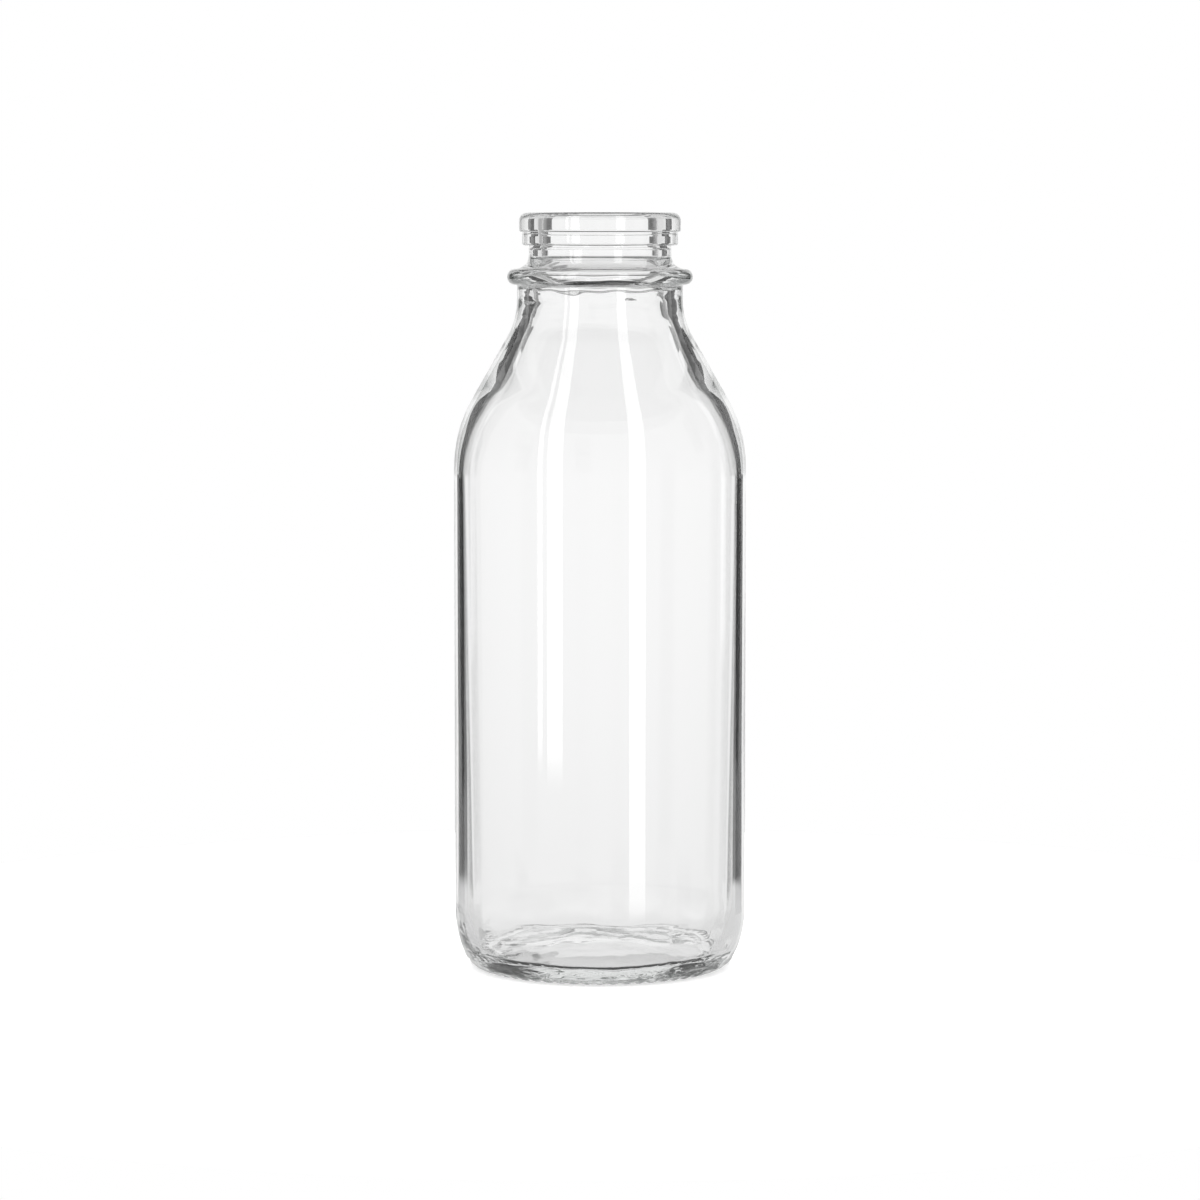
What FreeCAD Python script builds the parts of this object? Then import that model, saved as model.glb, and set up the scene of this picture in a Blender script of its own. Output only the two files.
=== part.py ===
"""Round glass milk bottle: one blown piece of clear glass, in millimetres, +Z up.

The origin is the middle of the underside, so the bottle stands on Z = 0. The glass is a single
solid, its outline turned about Z. The outline runs from the domed underside up the outside to the
lip, then back down the inside to the floor, so the wall is thick at the lip and in the base and
thin in the body.
"""

import math
import os

import FreeCAD
import Part

# Overall size
HEIGHT = 228.0
BODY_R = 44.0

# Foot and heel: a flat ring to stand on, a domed underside and an elliptical heel
FOOT_INNER_R = 31.5
FOOT_OUTER_R = 35.5
PUSH_UP = 4.5
HEEL_HEIGHT = 18.0

# Outer shoulder: an arc, a cone and an arc between the neck and the body
NECK_R = 24.9
NECK_BOTTOM = 202.3
NECK_ARC_R = 23.1
SHOULDER_SLOPE = 29.6
SHOULDER_ARC_R = 42.0

# Collar, groove and the two beads that a snap cap grips
COLLAR_R = 27.9
COLLAR_TOP = 211.2
COLLAR_ROUND = 2.4
GROOVE_R = 21.4
LOWER_BEAD_R = 23.4
LOWER_BEAD_BOTTOM = 218.2
LIP_BEAD_R = 24.3
LIP_BEAD_BOTTOM = 222.2
BEAD_ROUND = 0.7
LIP_OUTER_ROUND = 2.4
LIP_INNER_ROUND = 1.5

# Mouth and inner neck
MOUTH_R = 17.5
MOUTH_BOTTOM = 212.5
INNER_NECK_R = 19.5
INNER_NECK_BOTTOM = 204.5

# Inner shoulder, body and floor: slopes are in degrees from upright
INNER_NECK_ARC_R = 15.0
FLANK_SLOPE = 12.0
FLANK_ARC_R = 66.0
INNER_SHOULDER_SLOPE = 36.5
INNER_SHOULDER_ARC_R = 43.5
INNER_BODY_TOP_R = 41.5
INNER_BODY_BOTTOM_R = 40.15
INNER_HEEL_TOP = 20.0
INNER_HEEL_BOTTOM = 6.0
FLOOR_R = 36.0
FLOOR_MIDDLE = 8.9


class Outline:
    """A closed outline in the XZ plane, drawn on from point to point as (radius, height)."""

    def __init__(self, start):
        self.start = start
        self.here = start
        self.edges = []

    @staticmethod
    def at(point):
        return FreeCAD.Vector(point[0], 0, point[1])

    def line(self, end):
        self.edges.append(Part.LineSegment(self.at(self.here), self.at(end)).toShape())
        self.here = end

    def arc_through(self, middle, end):
        self.edges.append(Part.Arc(self.at(self.here), self.at(middle), self.at(end)).toShape())
        self.here = end

    def arc(self, centre, end):
        """The shorter arc about centre."""
        radius = math.dist(centre, self.here)
        toward = [(self.here[i] + end[i]) / 2 - centre[i] for i in (0, 1)]
        reach = radius / math.hypot(*toward)
        self.arc_through((centre[0] + toward[0] * reach, centre[1] + toward[1] * reach), end)

    def dome(self, end, rise):
        """An arc that is level on the axis, between the axis and a point `rise` below it."""
        rim_r = max(self.here[0], end[0])
        sphere_r = (rim_r**2 + rise**2) / (2 * rise)
        self.arc((0, max(self.here[1], end[1]) - sphere_r), end)

    def heel(self, centre, end):
        """A quarter of an upright ellipse about centre."""
        width = abs(end[0] - self.here[0])
        height = abs(end[1] - self.here[1])
        ellipse = Part.Ellipse(
            self.at((centre[0], centre[1] - height)),
            self.at((centre[0] + width, centre[1])),
            self.at(centre),
        )
        first, last = sorted(ellipse.parameter(self.at(point)) for point in (self.here, end))
        self.edges.append(Part.ArcOfEllipse(ellipse, first, last).toShape())
        self.here = end

    def flare(self, from_deg, to_deg, radius):
        """A downward arc that turns outward from one slope to another, in degrees from upright."""
        first = math.radians(from_deg)
        last = math.radians(to_deg)
        centre = (self.here[0] + radius * math.cos(first), self.here[1] + radius * math.sin(first))
        end = (centre[0] - radius * math.cos(last), centre[1] - radius * math.sin(last))
        self.arc(centre, end)

    def s_bend(self, end):
        """Two equal arcs between two vertical stretches."""
        start = self.here
        across = end[0] - start[0]
        drop = start[1] - end[1]
        turn = 2 * math.atan2(across, drop)
        radius = drop / (2 * math.sin(turn))
        self.arc((start[0] + radius, start[1]), (start[0] + across / 2, start[1] - drop / 2))
        self.arc((end[0] - radius, end[1]), end)

    def wire(self):
        self.line(self.start)
        return Part.Wire(self.edges)


def draw_base(outline):
    """The domed underside, the flat foot ring and the heel."""
    outline.dome((FOOT_INNER_R, 0), PUSH_UP)
    outline.line((FOOT_OUTER_R, 0))
    outline.heel((FOOT_OUTER_R, HEEL_HEIGHT), (BODY_R, HEEL_HEIGHT))


def draw_outer_shoulder(outline):
    """The straight body and the shoulder, drawn upward to the neck."""
    slope = math.radians(SHOULDER_SLOPE)
    spread = 1 - math.cos(slope)
    cone_top = (NECK_R + NECK_ARC_R * spread, NECK_BOTTOM - NECK_ARC_R * math.sin(slope))
    cone_r = BODY_R - SHOULDER_ARC_R * spread
    cone_bottom = (cone_r, cone_top[1] - (cone_r - cone_top[0]) / math.tan(slope))
    body_top = cone_bottom[1] - SHOULDER_ARC_R * math.sin(slope)
    outline.line((BODY_R, body_top))
    outline.arc((BODY_R - SHOULDER_ARC_R, body_top), cone_bottom)
    outline.line(cone_top)
    outline.arc((NECK_R + NECK_ARC_R, NECK_BOTTOM), (NECK_R, NECK_BOTTOM))


def draw_collar(outline):
    """A round collar with a small hollow below it and a wide one flaring down to it above."""
    round_r = COLLAR_R - COLLAR_ROUND
    collar_bottom = COLLAR_TOP - 2 * COLLAR_ROUND
    hollow = round_r - NECK_R
    flare = round_r - GROOVE_R
    outline.line((NECK_R, collar_bottom - hollow))
    outline.arc((round_r, collar_bottom - hollow), (round_r, collar_bottom))
    outline.arc_through((COLLAR_R, COLLAR_TOP - COLLAR_ROUND), (round_r, COLLAR_TOP))
    outline.arc((round_r, COLLAR_TOP + flare), (GROOVE_R, COLLAR_TOP + flare))


def draw_bead(outline, radius, bottom):
    """The underside of a bead, with its lower edge rounded."""
    outline.line((outline.here[0], bottom))
    outline.line((radius - BEAD_ROUND, bottom))
    outline.arc((radius - BEAD_ROUND, bottom + BEAD_ROUND), (radius, bottom + BEAD_ROUND))


def draw_lip(outline):
    """The rounded lip, from the outside over the flat rim and into the mouth."""
    outer_r = LIP_BEAD_R - LIP_OUTER_ROUND
    outer_z = HEIGHT - LIP_OUTER_ROUND
    inner_r = MOUTH_R + LIP_INNER_ROUND
    inner_z = HEIGHT - LIP_INNER_ROUND
    outline.line((LIP_BEAD_R, outer_z))
    outline.arc((outer_r, outer_z), (outer_r, HEIGHT))
    outline.line((inner_r, HEIGHT))
    outline.arc((inner_r, inner_z), (MOUTH_R, inner_z))


def draw_inside(outline):
    """The mouth, the inner neck, shoulder and body, and the floor, drawn downward."""
    outline.line((MOUTH_R, MOUTH_BOTTOM))
    outline.s_bend((INNER_NECK_R, INNER_NECK_BOTTOM))
    outline.flare(0, FLANK_SLOPE, INNER_NECK_ARC_R)
    outline.flare(FLANK_SLOPE, INNER_SHOULDER_SLOPE, FLANK_ARC_R)
    slope = math.radians(INNER_SHOULDER_SLOPE)
    centre_r = INNER_BODY_TOP_R - INNER_SHOULDER_ARC_R
    bend_r = centre_r + INNER_SHOULDER_ARC_R * math.cos(slope)
    bend_z = outline.here[1] - (bend_r - outline.here[0]) / math.tan(slope)
    centre_z = bend_z - INNER_SHOULDER_ARC_R * math.sin(slope)
    outline.line((bend_r, bend_z))
    outline.arc((centre_r, centre_z), (INNER_BODY_TOP_R, centre_z))
    outline.line((INNER_BODY_BOTTOM_R, INNER_HEEL_TOP))
    outline.heel((FLOOR_R, INNER_HEEL_TOP), (FLOOR_R, INNER_HEEL_BOTTOM))
    outline.dome((0, FLOOR_MIDDLE), FLOOR_MIDDLE - INNER_HEEL_BOTTOM)


def make_glass_bottle():
    outline = Outline((0, PUSH_UP))
    draw_base(outline)
    draw_outer_shoulder(outline)
    draw_collar(outline)
    draw_bead(outline, LOWER_BEAD_R, LOWER_BEAD_BOTTOM)
    draw_bead(outline, LIP_BEAD_R, LIP_BEAD_BOTTOM)
    draw_lip(outline)
    draw_inside(outline)
    face = Part.Face(outline.wire())
    return face.revolve(FreeCAD.Vector(), FreeCAD.Vector(0, 0, 1), 360)


glass_bottle = make_glass_bottle()
print("glass_bottle:", glass_bottle.ShapeType, "valid", glass_bottle.isValid())
print("glass volume, ml:", round(glass_bottle.Volume / 1000, 1))
os.makedirs("parts", exist_ok=True)
glass_bottle.exportStep("parts/glass_bottle.step")
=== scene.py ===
"""Studio view of a clear glass milk bottle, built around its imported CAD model."""

import math

import bpy
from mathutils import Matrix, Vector, noise


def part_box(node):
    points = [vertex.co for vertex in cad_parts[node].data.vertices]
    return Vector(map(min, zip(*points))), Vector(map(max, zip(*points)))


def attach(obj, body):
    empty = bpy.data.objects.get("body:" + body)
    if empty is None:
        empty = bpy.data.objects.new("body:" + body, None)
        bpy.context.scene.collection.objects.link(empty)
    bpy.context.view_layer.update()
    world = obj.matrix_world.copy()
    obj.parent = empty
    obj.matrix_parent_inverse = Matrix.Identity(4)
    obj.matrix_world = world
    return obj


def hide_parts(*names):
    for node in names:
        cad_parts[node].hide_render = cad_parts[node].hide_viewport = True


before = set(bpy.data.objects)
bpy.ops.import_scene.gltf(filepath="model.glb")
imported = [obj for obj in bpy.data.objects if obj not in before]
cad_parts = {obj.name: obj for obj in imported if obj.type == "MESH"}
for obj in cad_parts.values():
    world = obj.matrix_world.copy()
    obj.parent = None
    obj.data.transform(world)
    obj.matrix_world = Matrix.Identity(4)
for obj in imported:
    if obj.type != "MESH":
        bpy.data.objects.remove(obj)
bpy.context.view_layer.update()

LOW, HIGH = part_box("glass_bottle")

# Outer outline, in millimetres of the design. Slopes are in degrees from upright.
TOP = 228.0
BODY_R = 44.0
FOOT_INNER_R, FOOT_OUTER_R = 31.5, 35.5
PUSH_UP = 4.5
HEEL_HEIGHT = 18.0
NECK_R, NECK_BOTTOM = 24.9, 202.3
NECK_ARC_R, SHOULDER_ARC_R = 23.1, 42.0
SHOULDER_SLOPE = 29.6
COLLAR_R, COLLAR_TOP, COLLAR_ROUND = 27.9, 211.2, 2.4
GROOVE_R = 21.4
LOWER_BEAD_R, LOWER_BEAD_BOTTOM = 23.4, 218.2
LIP_BEAD_R, LIP_BEAD_BOTTOM = 24.3, 222.2
BEAD_ROUND = 0.7
LIP_OUTER_ROUND, LIP_INNER_ROUND = 2.4, 1.5

# Inner outline
MOUTH_R, MOUTH_BOTTOM = 17.5, 212.5
INNER_NECK_R, INNER_NECK_BOTTOM = 19.5, 204.5
INNER_NECK_ARC_R, FLANK_ARC_R, INNER_SHOULDER_ARC_R = 15.0, 66.0, 43.5
FLANK_SLOPE, INNER_SHOULDER_SLOPE = 12.0, 36.5
INNER_BODY_TOP_R, INNER_BODY_BOTTOM_R = 41.5, 40.15
INNER_HEEL_TOP, INNER_HEEL_BOTTOM = 20.0, 6.0
FLOOR_R, FLOOR_MIDDLE = 36.0, 8.9

MM = (HIGH.z - LOW.z) / TOP  # one millimetre of the design, in metres

# Mesh fineness: vertices round a ring, points on the heels, and steps along lines and round arcs
KNURLS = 58
COARSE_RING = KNURLS * 4
FINE_RING = KNURLS * 12
FINE_TOP = 11.0  # the rings of the foot and heel are fine up to this height
HEEL_POINTS, INNER_HEEL_POINTS = 56, 24
HEEL_STRIDE = 3  # above FINE_TOP, one point in three of the heel is kept
LINE_STEP = 5.0
CONE_STEP = 3.0
SIDE_STEP = 2.0
RIM_STEP = 1.5
FLOOR_STEP = 1.1
LEDGE_STEP = 1.0
FOOT_STEP = 0.5
ARC_STEP = math.radians(9)
EDGE_ARC_STEP = math.radians(22)
NECK_ARC_STEP = math.radians(4)
SHOULDER_ARC_STEP = math.radians(3)
FLANK_ARC_STEP = math.radians(2)
TINY = 1e-6

# Radial grip bars on the foot. They fade in and out by radius: each pair is the radius where
# there is nothing of them, and the one where they have their whole height.
KNURL_HEIGHT = 0.3
KNURL_STARTS = (FOOT_OUTER_R - 1.5, FOOT_OUTER_R)
KNURL_ENDS = (39.0, 37.5)

# Uneven glass of the outer skin: how high its ripples stand, how far apart they are, and pairs of
# radii or heights for their fades
UNDERSIDE_RIPPLE, UNDERSIDE_ROUND, UNDERSIDE_OUTWARD = 0.35, 9, 3
UNDERSIDE_STARTS, UNDERSIDE_ENDS = (18, 27), (33, 30)
HEEL_RIPPLE, HEEL_ROUND, HEEL_UPWARD = 0.45, 6, 1.8
HEEL_STARTS, HEEL_ENDS = (0, 1.5), (5.6, 3.4)
SKIN_RIPPLE, SKIN_APART = 0.012, 34.0
SKIN_STARTS = (2, 20)

# Uneven glass of the inner skin
WALL_RIPPLE, WALL_APART = 0.03, 40.0
WALL_RIPPLE_TOP = 211.3
NECK_RIPPLE, NECK_APART, NECK_FLATTEN = 0.25, 11.0, 2
NECK_STARTS, NECK_ENDS = (186, 200), (213, 207)
CORNER_RIPPLE, CORNER_APART = 0.5, 26.0
CORNER_DOWNWARD, CORNER_OUTWARD = (24, 10), (30, 36)
FLOOR_RIPPLES = ((0.35, 70, 17.0), (0.10, -40, 6.0))  # height, place in the noise, distance apart
FLOOR_DOWNWARD = (22, 9)

# Places in the noise where a ripple is read, so that no two ripples have the same pattern
HEEL_PLACE, WALL_PLACE, NECK_PLACE, CORNER_PLACE = 5, 200, 90, -60

# Glass: it absorbs light at a rate of (1 - tint) * density per metre
GLASS_IOR = 1.52
GLASS_TINT = (0.84, 0.848, 0.844, 1)
GLASS_DENSITY = 22.0

WHITE = (1, 1, 1, 1)

# Table top, in millimetres: it lies just under the bottle and glows a little, so it stays white
TABLE_R, TABLE_CORNERS, TABLE_GAP = 300, 128, 0.2
TABLE_COLOUR = (0.85, 0.85, 0.85, 1)
TABLE_ROUGHNESS = 0.9
TABLE_GLOW = 0.55

# Panels in the studio: azimuth from the backdrop, half width, soft edge, lowest and highest
# elevation, all in degrees, and brightness. A later panel stands in front of an earlier one.
# BEHIND shows through the glass, and FRONT is mirrored by its outer skin.
ALL_ROUND = 180
BEHIND = (
    (0, 40.8, 0.7, -10.0, 88, 0.04),  # dark gaps beside the backdrop
    (0, 50, 1, 3, 88, 0.04),
    (0, 19.2, 0.5, -60, 24, 0.99),  # the pale backdrop
    (0, 24.5, 0.7, 2.5, 11, 0.99),  # a wider foot of the backdrop
    (-60.5, 7, 1, -10, 88, 0.45),  # grey panels that give the edges a line in the side views
    (-119.5, 7, 1, -10, 88, 0.45),
    (-15.5, 7, 1, -36, -17, 0.45),  # and in views from above
    (-74.5, 7, 1, -36, -17, 0.3),
    (105.5, 7, 1, -26, -10, 0.3),
    (164.5, 7, 1, -26, -10, 0.3),
    (0, ALL_ROUND, 1, -89, -40, 0.05),  # shade below the table
)
FRONT = (
    (0, 43.5, 0.7, -8.9, 88, 0.04),  # dark gaps beside the backdrop
    (0, 26, 0.5, -60, 24, 0.97),  # the pale backdrop
    (-60, 3, 2, -5.5, 40, 1.8),  # narrow lights that the body's sides mirror
    (66, 3, 2, -5.5, 40, 1.8),
)
# Strip lights in front: two close together on the left, and one on the right. Each curves in over
# the bottle by STRIP_LEAN.
STRIPS = (
    (227.8, 2.0, 0.25, -6.9, 64, 4.0),
    (215.6, 6.3, 0.25, -7.05, 64, 4.0),
    (150.6, 6.5, 0.25, -8.95, 64, 4.0),
)
STRIP_LEAN = 0.32
STUDIO_LEVEL = 0.8  # brightness between the panels
PANEL_EDGE = 0.35  # how soft the panels' lower and upper edges are, in degrees
DIM_FROM, DIM_TO, DIM_LEVEL = -4, -15, 0.84  # what shows through the glass dims downward

# Overhead lamp, in millimetres, and its power in watts
LAMP_SIZE, LAMP_HEIGHT, LAMP_POWER = 1600, 1600, 36

# Camera, in millimetres
CAMERA_DISTANCE, CAMERA_HEIGHT, TARGET_HEIGHT = 1300, 220.9, 111.4
LENS, SENSOR = 129.5, 36.0

BOUNCES = 96  # light crosses the glass and mirrors inside it many times


class Outline:
    """Points (radius, height) sampled along lines and arcs."""

    def __init__(self, start):
        self.points = [start]

    @property
    def here(self):
        return self.points[-1]

    def line(self, end, step=LINE_STEP):
        start = self.here
        count = max(1, math.ceil(math.dist(start, end) / step - TINY))
        for i in range(1, count + 1):
            t = i / count
            self.points.append((start[0] + (end[0] - start[0]) * t, start[1] + (end[1] - start[1]) * t))

    def sweep(self, centre, width, height, first, last, count):
        """Part of an ellipse about centre, between two angles."""
        for i in range(1, count + 1):
            a = first + (last - first) * i / count
            self.points.append((centre[0] + width * math.cos(a), centre[1] + height * math.sin(a)))

    def arc(self, centre, end, step=ARC_STEP):
        """The shorter arc about centre."""
        start = self.here
        radius = math.dist(centre, start)
        first = math.atan2(start[1] - centre[1], start[0] - centre[0])
        last = math.atan2(end[1] - centre[1], end[0] - centre[0])
        turn = (last - first + math.pi) % math.tau - math.pi
        count = max(2, math.ceil(abs(turn) / step))
        self.sweep(centre, radius, radius, first, first + turn, count)

    def flare(self, from_deg, to_deg, radius, step):
        """A downward arc that turns outward from one slope to another, in degrees from upright."""
        first, last = math.radians(from_deg), math.radians(to_deg)
        r, z = self.here
        centre = (r + radius * math.cos(first), z + radius * math.sin(first))
        end = (centre[0] - radius * math.cos(last), centre[1] - radius * math.sin(last))
        self.arc(centre, end, step)

    def heel(self, centre, end, count):
        """A quarter of an upright ellipse about centre."""
        start = self.here
        width, height = abs(end[0] - start[0]), abs(end[1] - start[1])
        first = math.atan2((start[1] - centre[1]) / height, (start[0] - centre[0]) / width)
        last = math.atan2((end[1] - centre[1]) / height, (end[0] - centre[0]) / width)
        self.sweep(centre, width, height, first, last, count)

    def dome(self, end, rise, step):
        """A shallow spherical cap between the axis and a rim `rise` below it."""
        rim_r = max(self.here[0], end[0])
        sphere_r = (rim_r**2 + rise**2) / (2 * rise)
        centre = (0, max(self.here[1], end[1]) - sphere_r)
        self.arc(centre, end, step / sphere_r)

    def s_bend(self, end):
        """Two equal arcs between two vertical stretches."""
        start = self.here
        across, drop = end[0] - start[0], start[1] - end[1]
        turn = 2 * math.atan2(across, drop)
        radius = drop / (2 * math.sin(turn))
        self.arc((start[0] + radius, start[1]), (start[0] + across / 2, start[1] - drop / 2))
        self.arc((end[0] - radius, end[1]), end)


def foot_outline():
    """The foot ring and the heel, in steps small enough for the grip bars and ripples there."""
    foot = Outline((FOOT_INNER_R, 0))
    foot.line((FOOT_OUTER_R, 0), FOOT_STEP)
    foot.heel((FOOT_OUTER_R, HEEL_HEIGHT), (BODY_R, HEEL_HEIGHT), HEEL_POINTS)
    return foot.points


def draw_upper_heel(line):
    """The heel above the fine rings, in longer steps."""
    heel = [point for point in foot_outline() if point[1] > line.here[1] + TINY]
    kept = heel[1::HEEL_STRIDE]
    if kept[-1] != heel[-1]:
        kept.append(heel[-1])
    line.points += kept


def draw_outer_shoulder(line):
    """The straight body, and the shoulder's arc, cone and arc up to the neck."""
    slope = math.radians(SHOULDER_SLOPE)
    spread = 1 - math.cos(slope)
    cone_top = (NECK_R + NECK_ARC_R * spread, NECK_BOTTOM - NECK_ARC_R * math.sin(slope))
    cone_r = BODY_R - SHOULDER_ARC_R * spread
    cone_bottom = (cone_r, cone_top[1] - (cone_r - cone_top[0]) / math.tan(slope))
    body_top = (BODY_R, cone_bottom[1] - SHOULDER_ARC_R * math.sin(slope))
    line.line(body_top)
    line.arc((BODY_R - SHOULDER_ARC_R, body_top[1]), cone_bottom, SHOULDER_ARC_STEP)
    line.line(cone_top, CONE_STEP)
    line.arc((NECK_R + NECK_ARC_R, NECK_BOTTOM), (NECK_R, NECK_BOTTOM), NECK_ARC_STEP)


def draw_collar(line):
    """The round collar, with a small hollow below it and a wide one above it."""
    round_r = COLLAR_R - COLLAR_ROUND
    collar_bottom = COLLAR_TOP - 2 * COLLAR_ROUND
    hollow, flare = round_r - NECK_R, round_r - GROOVE_R
    line.line((NECK_R, collar_bottom - hollow), RIM_STEP)
    line.arc((round_r, collar_bottom - hollow), (round_r, collar_bottom), EDGE_ARC_STEP)
    line.arc((round_r, COLLAR_TOP - COLLAR_ROUND), (COLLAR_R, COLLAR_TOP - COLLAR_ROUND))
    line.arc((round_r, COLLAR_TOP - COLLAR_ROUND), (round_r, COLLAR_TOP))
    line.arc((round_r, COLLAR_TOP + flare), (GROOVE_R, COLLAR_TOP + flare))


def draw_bead(line, radius, bottom):
    """The underside of a bead, with its lower edge rounded."""
    line.line((line.here[0], bottom), SIDE_STEP)
    line.line((radius - BEAD_ROUND, bottom), LEDGE_STEP)
    centre = (radius - BEAD_ROUND, bottom + BEAD_ROUND)
    line.arc(centre, (radius, bottom + BEAD_ROUND), EDGE_ARC_STEP)


def draw_lip(line):
    """The rounded lip, from the outside over the flat rim and into the mouth."""
    outer = (LIP_BEAD_R - LIP_OUTER_ROUND, TOP - LIP_OUTER_ROUND)
    inner = (MOUTH_R + LIP_INNER_ROUND, TOP - LIP_INNER_ROUND)
    line.line((LIP_BEAD_R, outer[1]), SIDE_STEP)
    line.arc(outer, (outer[0], TOP))
    line.line((inner[0], TOP), RIM_STEP)
    line.arc(inner, (MOUTH_R, inner[1]))


def outside_outline(start):
    """The upper heel, body, shoulder, collar, beads and lip, drawn upward."""
    line = Outline(start)
    draw_upper_heel(line)
    draw_outer_shoulder(line)
    draw_collar(line)
    draw_bead(line, LOWER_BEAD_R, LOWER_BEAD_BOTTOM)
    draw_bead(line, LIP_BEAD_R, LIP_BEAD_BOTTOM)
    draw_lip(line)
    return line.points


def inside_outline(start):
    """The mouth, inner neck, shoulder, body and floor, drawn downward to the axis."""
    line = Outline(start)
    line.line((MOUTH_R, MOUTH_BOTTOM), CONE_STEP)
    line.s_bend((INNER_NECK_R, INNER_NECK_BOTTOM))
    line.flare(0, FLANK_SLOPE, INNER_NECK_ARC_R, SHOULDER_ARC_STEP)
    line.flare(FLANK_SLOPE, INNER_SHOULDER_SLOPE, FLANK_ARC_R, FLANK_ARC_STEP)
    slope = math.radians(INNER_SHOULDER_SLOPE)
    centre_r = INNER_BODY_TOP_R - INNER_SHOULDER_ARC_R
    bend_r = centre_r + INNER_SHOULDER_ARC_R * math.cos(slope)
    bend_z = line.here[1] - (bend_r - line.here[0]) / math.tan(slope)
    body_top = (INNER_BODY_TOP_R, bend_z - INNER_SHOULDER_ARC_R * math.sin(slope))
    line.line((bend_r, bend_z), SIDE_STEP)
    line.arc((centre_r, body_top[1]), body_top, SHOULDER_ARC_STEP)
    line.line((INNER_BODY_BOTTOM_R, INNER_HEEL_TOP))
    line.heel((FLOOR_R, INNER_HEEL_TOP), (FLOOR_R, INNER_HEEL_BOTTOM), INNER_HEEL_POINTS)
    line.dome((0, FLOOR_MIDDLE), FLOOR_MIDDLE - INNER_HEEL_BOTTOM, FLOOR_STEP)
    return line.points


def normals(points, start_normal, end_normal):
    """The outward normal (radius, height) at each point: the glass is on the left of the way."""
    result = []
    last = len(points) - 1
    for i in range(last + 1):
        before, after = points[max(i - 1, 0)], points[min(i + 1, last)]
        dr, dz = after[0] - before[0], after[1] - before[1]
        size = math.hypot(dr, dz)
        result.append((dz / size, -dr / size))
    result[0] = start_normal
    result[-1] = end_normal
    return result


def smooth(low, high, value):
    """A smooth step from 0 at low to 1 at high. Low may be the larger of the two."""
    t = min(max((value - low) / (high - low), 0.0), 1.0)
    return t * t * (3 - 2 * t)


def soft_noise(place, octaves):
    """Noise from about -1 to 1, each octave half as strong and half as wide as the one before."""
    return noise.fractal(place, 1.0, 2.0, octaves)


def waves(x, y, z, apart, octaves):
    """Noise whose features are about `apart` millimetres from each other."""
    return soft_noise(Vector((x, y, z)) / apart, octaves)


def knurl(angle, r):
    """Radial grip bars on the foot: 0 on their tops and -1 between them."""
    phase = (angle * KNURLS / math.tau) % 1.0
    bar = math.sin(math.pi * phase) ** 2
    return (bar - 1) * smooth(*KNURL_STARTS, r) * smooth(*KNURL_ENDS, r)


def round_foot(angle, apart):
    """A place on the foot's outer edge, counted in ripples that are `apart` millimetres long."""
    return FOOT_OUTER_R * math.cos(angle) / apart, FOOT_OUTER_R * math.sin(angle) / apart


def outside_bulge(angle, r, z):
    """How far the outer skin stands out of the plain outline, in millimetres."""
    bulge = 0.0
    if z < FINE_TOP:
        bulge += KNURL_HEIGHT * knurl(angle, r)
    if z < PUSH_UP:
        along, across = round_foot(angle, UNDERSIDE_ROUND)
        wave = soft_noise(Vector((along, across, r / UNDERSIDE_OUTWARD)), 2)
        bulge += UNDERSIDE_RIPPLE * wave * smooth(*UNDERSIDE_STARTS, r) * smooth(*UNDERSIDE_ENDS, r)
    if 0 < z < HEEL_ENDS[0] and r > FOOT_OUTER_R:
        along, across = round_foot(angle, HEEL_ROUND)
        wave = soft_noise(Vector((along + HEEL_PLACE, across, z / HEEL_UPWARD)), 2)
        bulge += HEEL_RIPPLE * wave * smooth(*HEEL_STARTS, z) * smooth(*HEEL_ENDS, z)
    if SKIN_STARTS[0] < z < NECK_BOTTOM:
        x, y = r * math.cos(angle), r * math.sin(angle)
        bulge += SKIN_RIPPLE * waves(x, y, z, SKIN_APART, 1) * smooth(*SKIN_STARTS, z)
    return bulge


def inside_bulge(angle, r, z):
    """How far the inner skin stands into the bottle, in millimetres."""
    if z > WALL_RIPPLE_TOP:
        return 0.0
    x, y = r * math.cos(angle), r * math.sin(angle)
    bulge = WALL_RIPPLE * waves(x + WALL_PLACE, y, z, WALL_APART, 2)
    neck = waves(x + NECK_PLACE, y, z * NECK_FLATTEN, NECK_APART, 2)
    bulge += NECK_RIPPLE * neck * smooth(*NECK_STARTS, z) * smooth(*NECK_ENDS, z)
    corner = waves(x + CORNER_PLACE, y, z, CORNER_APART, 1)
    bulge += CORNER_RIPPLE * corner * smooth(*CORNER_DOWNWARD, z) * smooth(*CORNER_OUTWARD, r)
    low = smooth(*FLOOR_DOWNWARD, z)
    for height, place, apart in FLOOR_RIPPLES:
        bulge += height * low * waves(x, y + place, z, apart, 2)
    return bulge


def ring(point, normal, segments, bulge):
    """The vertices of one ring of the bottle, never below the table."""
    row = []
    for i in range(segments):
        angle = math.tau * i / segments
        height = bulge(angle, *point)
        r, z = point[0] + normal[0] * height, point[1] + normal[1] * height
        row.append((r * math.cos(angle) * MM, r * math.sin(angle) * MM, max(z, 0.0) * MM))
    return row


def join(low, high):
    """Faces between two rings, whose vertex counts are equal or a whole multiple of each other."""
    if len(low) == 1:
        return [(low[0], high[(i + 1) % len(high)], high[i]) for i in range(len(high))]
    if len(high) == 1:
        return [(low[i], low[(i + 1) % len(low)], high[0]) for i in range(len(low))]
    if len(low) == len(high):
        n = len(low)
        return [(low[i], low[(i + 1) % n], high[(i + 1) % n], high[i]) for i in range(n)]
    return join_fans(low, high)


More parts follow.
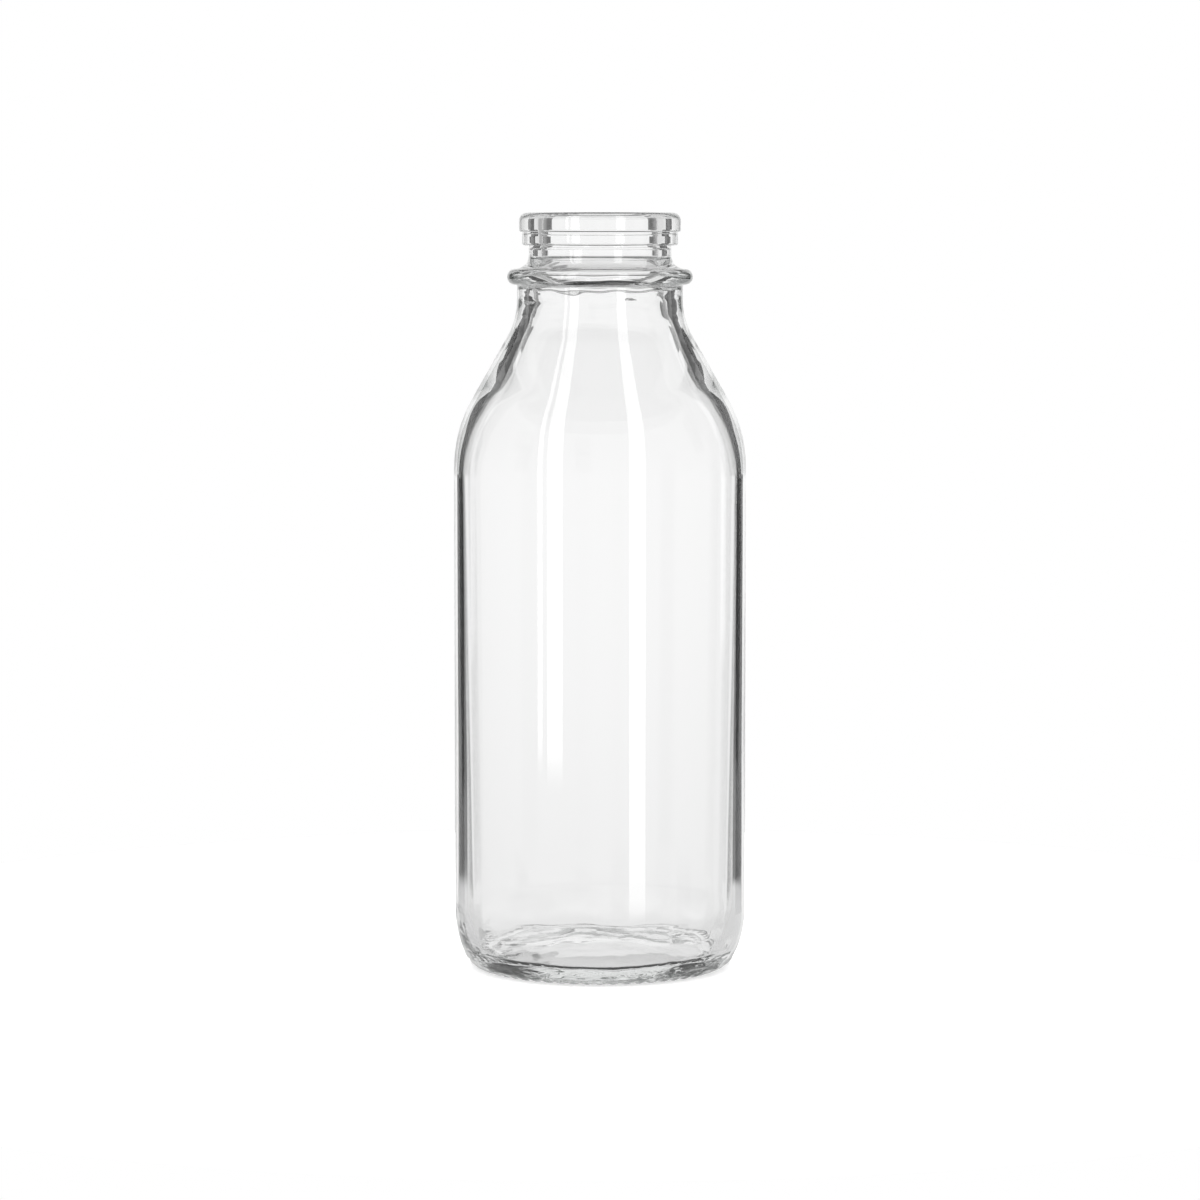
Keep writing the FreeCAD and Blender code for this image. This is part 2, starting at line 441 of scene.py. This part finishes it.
def join_fans(low, high):
    """Triangles between a coarse and a fine ring, fanned from each coarse vertex."""
    faces = []
    coarse, fine, flip = (low, high, False) if len(low) < len(high) else (high, low, True)
    ratio, n = len(fine) // len(coarse), len(coarse)
    half = ratio // 2
    for i in range(n):
        a, b = coarse[i], coarse[(i + 1) % n]
        edge = [fine[(i * ratio + k) % len(fine)] for k in range(ratio + 1)]
        fan = [(a, edge[k + 1], edge[k]) for k in range(half)]
        fan.append((a, b, edge[half]))
        fan += [(b, edge[k + 1], edge[k]) for k in range(half, ratio)]
        faces += [face[::-1] for face in fan] if flip else fan
    return faces


def make_bottle():
    """One closed skin: underside, foot, heel, outside, lip, inside and floor."""
    fine = [point for point in foot_outline() if point[1] <= FINE_TOP]
    dome = Outline((0, PUSH_UP))
    dome.dome((FOOT_INNER_R, 0), PUSH_UP, SIDE_STEP)
    under = dome.points[:-1]
    outside = outside_outline(fine[-1])
    inside = inside_outline(outside[-1])
    whole = under + fine + outside[1:] + inside[1:]
    first_fine = len(under)
    first_inside = first_fine + len(fine) + len(outside) - 1
    last = len(whole) - 1
    verts, faces, rings = [], [], []
    for i, (point, normal) in enumerate(zip(whole, normals(whole, (0, -1), (0, 1)))):
        if i == 0:
            row = [(0, 0, PUSH_UP * MM)]
        elif i == last:
            row = [(0, 0, (point[1] + inside_bulge(0, 0, point[1])) * MM)]
        elif i >= first_inside:
            row = ring(point, normal, COARSE_RING, inside_bulge)
        else:
            segments = FINE_RING if first_fine <= i < first_fine + len(fine) else COARSE_RING
            row = ring(point, normal, segments, outside_bulge)
        rings.append(range(len(verts), len(verts) + len(row)))
        verts += row
    for low, high in zip(rings, rings[1:]):
        faces += join(low, high)
    mesh = bpy.data.meshes.new("glass_bottle_skin")
    mesh.from_pydata(verts, [], faces)
    mesh.validate()
    mesh.update()
    for polygon in mesh.polygons:
        polygon.use_smooth = True
    bottle = bpy.data.objects.new("bottle_glass", mesh)
    bpy.context.scene.collection.objects.link(bottle)
    bottle.modifiers.new("even_normals", "WEIGHTED_NORMAL")
    return bottle


def link(tree, value, socket):
    """Wire a socket to another node's output, or set it to a plain value."""
    if isinstance(value, bpy.types.NodeSocket):
        tree.links.new(value, socket)
    else:
        socket.default_value = value


def math_node(tree, operation, *values):
    node = tree.nodes.new("ShaderNodeMath")
    node.operation = operation
    for value, socket in zip(values, node.inputs):
        link(tree, value, socket)
    return node.outputs[0]


def ramp(tree, value, low, high, start=0.0, end=1.0):
    """A smooth step from start at low to end at high. Low may be the larger of the two."""
    node = tree.nodes.new("ShaderNodeMapRange")
    node.interpolation_type = "SMOOTHSTEP"
    link(tree, value, node.inputs["Value"])
    if low > high:
        low, high, start, end = high, low, end, start
    node.inputs["From Min"].default_value = low
    node.inputs["From Max"].default_value = high
    node.inputs["To Min"].default_value = start
    node.inputs["To Max"].default_value = end
    return node.outputs["Result"]


def mix(tree, base, value, mask):
    """Base where the mask is 0, and value where it is 1."""
    node = tree.nodes.new("ShaderNodeMix")
    link(tree, mask, node.inputs[0])
    link(tree, base, node.inputs[2])
    link(tree, value, node.inputs[3])
    return node.outputs[0]


def glass_material():
    """Clear glass: sharp and smooth, with a little neutral absorption."""
    material = bpy.data.materials.new("clear_glass")
    material.use_nodes = True
    tree = material.node_tree
    shader = tree.nodes["Principled BSDF"]
    shader.inputs["Base Color"].default_value = WHITE
    shader.inputs["Transmission Weight"].default_value = 1.0
    shader.inputs["Roughness"].default_value = 0.0
    shader.inputs["IOR"].default_value = GLASS_IOR
    absorb = tree.nodes.new("ShaderNodeVolumeAbsorption")
    absorb.inputs["Color"].default_value = GLASS_TINT
    absorb.inputs["Density"].default_value = GLASS_DENSITY
    tree.links.new(absorb.outputs[0], tree.nodes["Material Output"].inputs["Volume"])
    return material


def table_material():
    """A pale, evenly lit table top."""
    material = bpy.data.materials.new("pale_floor")
    material.use_nodes = True
    shader = material.node_tree.nodes["Principled BSDF"]
    shader.inputs["Base Color"].default_value = TABLE_COLOUR
    shader.inputs["Roughness"].default_value = TABLE_ROUGHNESS
    shader.inputs["Specular IOR Level"].default_value = 0.0
    shader.inputs["Emission Color"].default_value = WHITE
    shader.inputs["Emission Strength"].default_value = TABLE_GLOW
    return material


def make_floor():
    """The round table top, which the glass neither shows nor mirrors."""
    radius = TABLE_R * MM
    corners = [math.tau * i / TABLE_CORNERS for i in range(TABLE_CORNERS)]
    mesh = bpy.data.meshes.new("floor")
    rim = [(radius * math.cos(angle), radius * math.sin(angle), 0) for angle in corners]
    mesh.from_pydata(rim, [], [tuple(range(TABLE_CORNERS))])
    mesh.materials.append(table_material())
    floor = bpy.data.objects.new("floor", mesh)
    floor.location.z = LOW.z - TABLE_GAP * MM
    floor.visible_transmission = False
    floor.visible_glossy = False
    bpy.context.scene.collection.objects.link(floor)


def sine(degrees):
    return math.sin(math.radians(degrees))


def cosine(degrees):
    return math.cos(math.radians(degrees))


def toward(tree, axes, azimuth):
    """The cosine of the angle, seen from above, between a direction and an azimuth."""
    x, y = axes
    return math_node(
        tree,
        "ADD",
        math_node(tree, "MULTIPLY", x, sine(azimuth)),
        math_node(tree, "MULTIPLY", y, cosine(azimuth)),
    )


def panel_mask(tree, axes, height, azimuth, half, soft, lowest, highest):
    """1 in the directions where a panel is, and 0 elsewhere."""
    across = 1.0
    if half < ALL_ROUND:
        across = ramp(tree, toward(tree, axes, azimuth), cosine(half + soft), cosine(half - soft))
    above = ramp(tree, height, sine(lowest - PANEL_EDGE), sine(lowest + PANEL_EDGE))
    below = ramp(tree, height, sine(highest + PANEL_EDGE), sine(highest - PANEL_EDGE))
    return math_node(tree, "MULTIPLY", across, math_node(tree, "MULTIPLY", above, below))


def studio_level(tree, level, axes, height, panels):
    """The brightness of each direction, with the panels set up in front of a level."""
    for *place, brightness in panels:
        level = mix(tree, level, brightness, panel_mask(tree, axes, height, *place))
    return level


def level_axes(tree, x, y):
    """The level part of a direction, as a unit vector."""
    squares = [math_node(tree, "MULTIPLY", value, value) for value in (x, y)]
    flat = math_node(tree, "SQRT", math_node(tree, "ADD", *squares))
    return [math_node(tree, "DIVIDE", value, flat) for value in (x, y)]


def make_world():
    """The studio, with one set of panels behind the glass and one that its skin mirrors."""
    world = bpy.data.worlds.new("studio")
    bpy.context.scene.world = world
    world.use_nodes = True
    tree = world.node_tree
    tree.nodes.clear()
    parts = tree.nodes.new("ShaderNodeSeparateXYZ")
    tree.links.new(tree.nodes.new("ShaderNodeTexCoord").outputs["Generated"], parts.inputs[0])
    x, y, z = parts.outputs
    axes = level_axes(tree, x, y)
    height = math_node(tree, "MAXIMUM", z, 0.0)
    lean = math_node(tree, "MULTIPLY", math_node(tree, "MULTIPLY", height, height), STRIP_LEAN)
    leaning = level_axes(tree, x, math_node(tree, "SUBTRACT", y, lean))
    path = tree.nodes.new("ShaderNodeLightPath")
    dim = ramp(tree, z, sine(DIM_TO), sine(DIM_FROM), DIM_LEVEL, 1.0)
    behind = math_node(tree, "MULTIPLY", studio_level(tree, STUDIO_LEVEL, axes, z, BEHIND), dim)
    front = studio_level(tree, STUDIO_LEVEL, axes, z, FRONT)
    front = studio_level(tree, front, leaning, z, STRIPS)
    level = mix(tree, behind, front, path.outputs["Is Reflection Ray"])
    level = mix(tree, level, 1.0, path.outputs["Is Camera Ray"])
    back = tree.nodes.new("ShaderNodeBackground")
    back.inputs["Color"].default_value = WHITE
    tree.links.new(level, back.inputs["Strength"])
    out = tree.nodes.new("ShaderNodeOutputWorld")
    tree.links.new(back.outputs[0], out.inputs["Surface"])


def make_lamp():
    """A wide soft overhead light that keeps the table white."""
    data = bpy.data.lights.new("overhead", "AREA")
    data.shape = "DISK"
    data.size = LAMP_SIZE * MM
    data.energy = LAMP_POWER
    lamp = bpy.data.objects.new("overhead", data)
    lamp.location = (0, 0, LAMP_HEIGHT * MM)
    lamp.visible_glossy = False
    lamp.visible_transmission = False
    bpy.context.scene.collection.objects.link(lamp)


def make_camera():
    """At the height of the lip, looking slightly down at the middle of the bottle."""
    data = bpy.data.cameras.new("camera")
    data.sensor_width = SENSOR
    data.lens = LENS
    camera = bpy.data.objects.new("camera", data)
    camera.location = (0, -CAMERA_DISTANCE * MM, CAMERA_HEIGHT * MM)
    target = Vector((0, 0, TARGET_HEIGHT * MM))
    camera.rotation_euler = (target - camera.location).to_track_quat("-Z", "Y").to_euler()
    bpy.context.scene.collection.objects.link(camera)
    bpy.context.scene.camera = camera


def set_up_render():
    """Plain colours, and enough bounces for the glass."""
    scene = bpy.context.scene
    scene.view_settings.view_transform = "Standard"
    scene.cycles.max_bounces = BOUNCES
    scene.cycles.transmission_bounces = BOUNCES
    scene.cycles.glossy_bounces = BOUNCES


bottle = make_bottle()
bottle.data.materials.append(glass_material())
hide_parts("glass_bottle")
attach(bottle, "root")
make_floor()
make_world()
make_lamp()
make_camera()
set_up_render()
